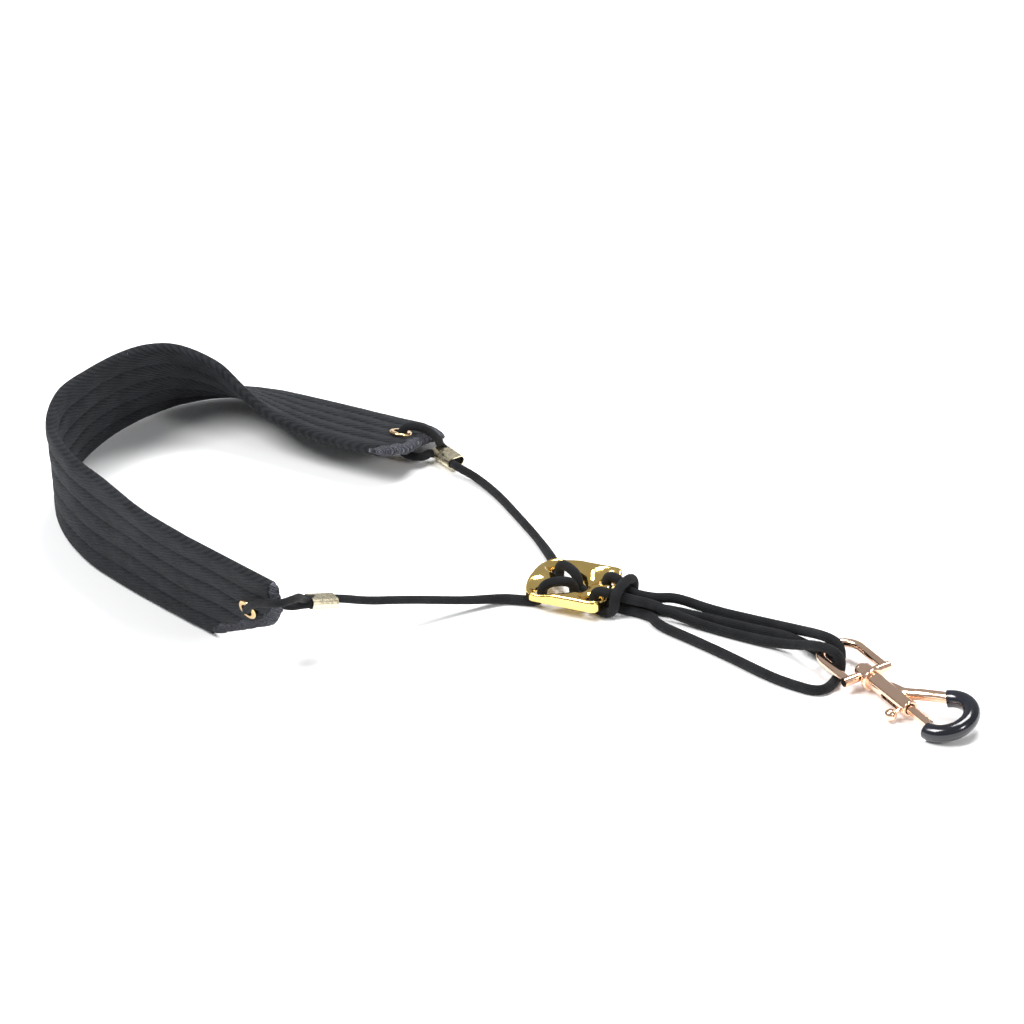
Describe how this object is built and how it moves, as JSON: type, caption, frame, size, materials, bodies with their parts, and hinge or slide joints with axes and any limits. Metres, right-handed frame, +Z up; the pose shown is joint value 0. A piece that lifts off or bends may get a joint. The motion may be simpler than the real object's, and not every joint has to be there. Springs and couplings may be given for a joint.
{
  "type": "saxophone neck strap",
  "caption": "Saxophone neck strap: curved padded neck band, braided cord, adjusting plate and swivel snap hook with a vinyl-coated tip.",
  "frame": {"origin": "centre of the footprint of the band, plate and hook, at the surface the strap lies on", "axes": "+X from the neck band towards the snap hook, +Y across the strap towards the far arm of the band, +Z up from the surface"},
  "size_m": [0.3649, 0.1857, 0.0453],
  "materials": {
    "band_vinyl": "ribbed coated cloth with a fine diagonal grain, satin",
    "hem_thread": "dense slate-grey overlock stitching along the cut ends",
    "eyelet_brass": "rolled pressed eyelet, polished",
    "ferrule_brass": "crimped sheet, lightly brushed",
    "black_cord": "tight round braid",
    "plate_gold": "polished gold plating",
    "hook_copper": "rose gold plating, polished casting",
    "sleeve_vinyl": "glossy dipped vinyl",
    "spring_steel": "plain spring wire"
  },
  "bodies": {
    "band": {"neck_band": "band_vinyl", "end_hem_near": "hem_thread", "end_hem_far": "hem_thread", "eyelet_near": "eyelet_brass", "eyelet_far": "eyelet_brass", "eyelet_washer_near": "eyelet_brass", "eyelet_washer_far": "eyelet_brass", "ferrule_near": "ferrule_brass", "ferrule_far": "ferrule_brass", "cord_loop_near": "black_cord", "cord_loop_far": "black_cord"},
    "adjuster": {"adjuster_plate": "plate_gold", "plate_strand_near": "black_cord", "plate_strand_far": "black_cord", "girth_hitch": "black_cord", "pad_strand_near": "black_cord", "pad_strand_far": "black_cord"},
    "eye": {"swivel_eye": "hook_copper", "ring_wrap_near": "black_cord", "ring_wrap_far": "black_cord", "hook_strand_front": "black_cord", "hook_strand_middle": "black_cord", "hook_strand_near": "black_cord", "hook_strand_back": "black_cord"},
    "hook": {"hook_body": "hook_copper", "hook_sleeve": "sleeve_vinyl", "swivel_stud": "hook_copper", "barrel_plug": "hook_copper", "trigger_spring": "spring_steel"},
    "trigger": {"plunger": "hook_copper", "thumb_knob": "hook_copper"}
  },
  "joints": [
    {"name": "adjuster_slide", "type": "slide", "parent": "band", "child": "adjuster", "axis": [1, 0, 0], "range_m": [-0.03, 0.04], "deforming": ["pad_strand_near", "pad_strand_far"]},
    {"name": "eye_slide", "type": "slide", "parent": "adjuster", "child": "eye", "axis": [1, 0, 0], "range_m": [-0.02, 0.015], "deforming": ["hook_strand_front", "hook_strand_middle", "hook_strand_near", "hook_strand_back"]},
    {"name": "hook_swivel", "type": "hinge", "parent": "eye", "child": "hook", "pos_m": [0.1369, 0.0173, 0.0053], "axis": [0.902, -0.4302, -0.0349], "continuous": true},
    {"name": "trigger_slide", "type": "slide", "parent": "hook", "child": "trigger", "axis": [-0.902, 0.4302, 0.0349], "range_m": [0, 0.0095], "stiffness_N_per_m": 300, "springref_m": -0.01, "deforming": ["trigger_spring"]}
  ],
  "couplings": [
    {"joint": "eye_slide", "follows": "adjuster_slide", "ratio": -0.5}
  ]
}
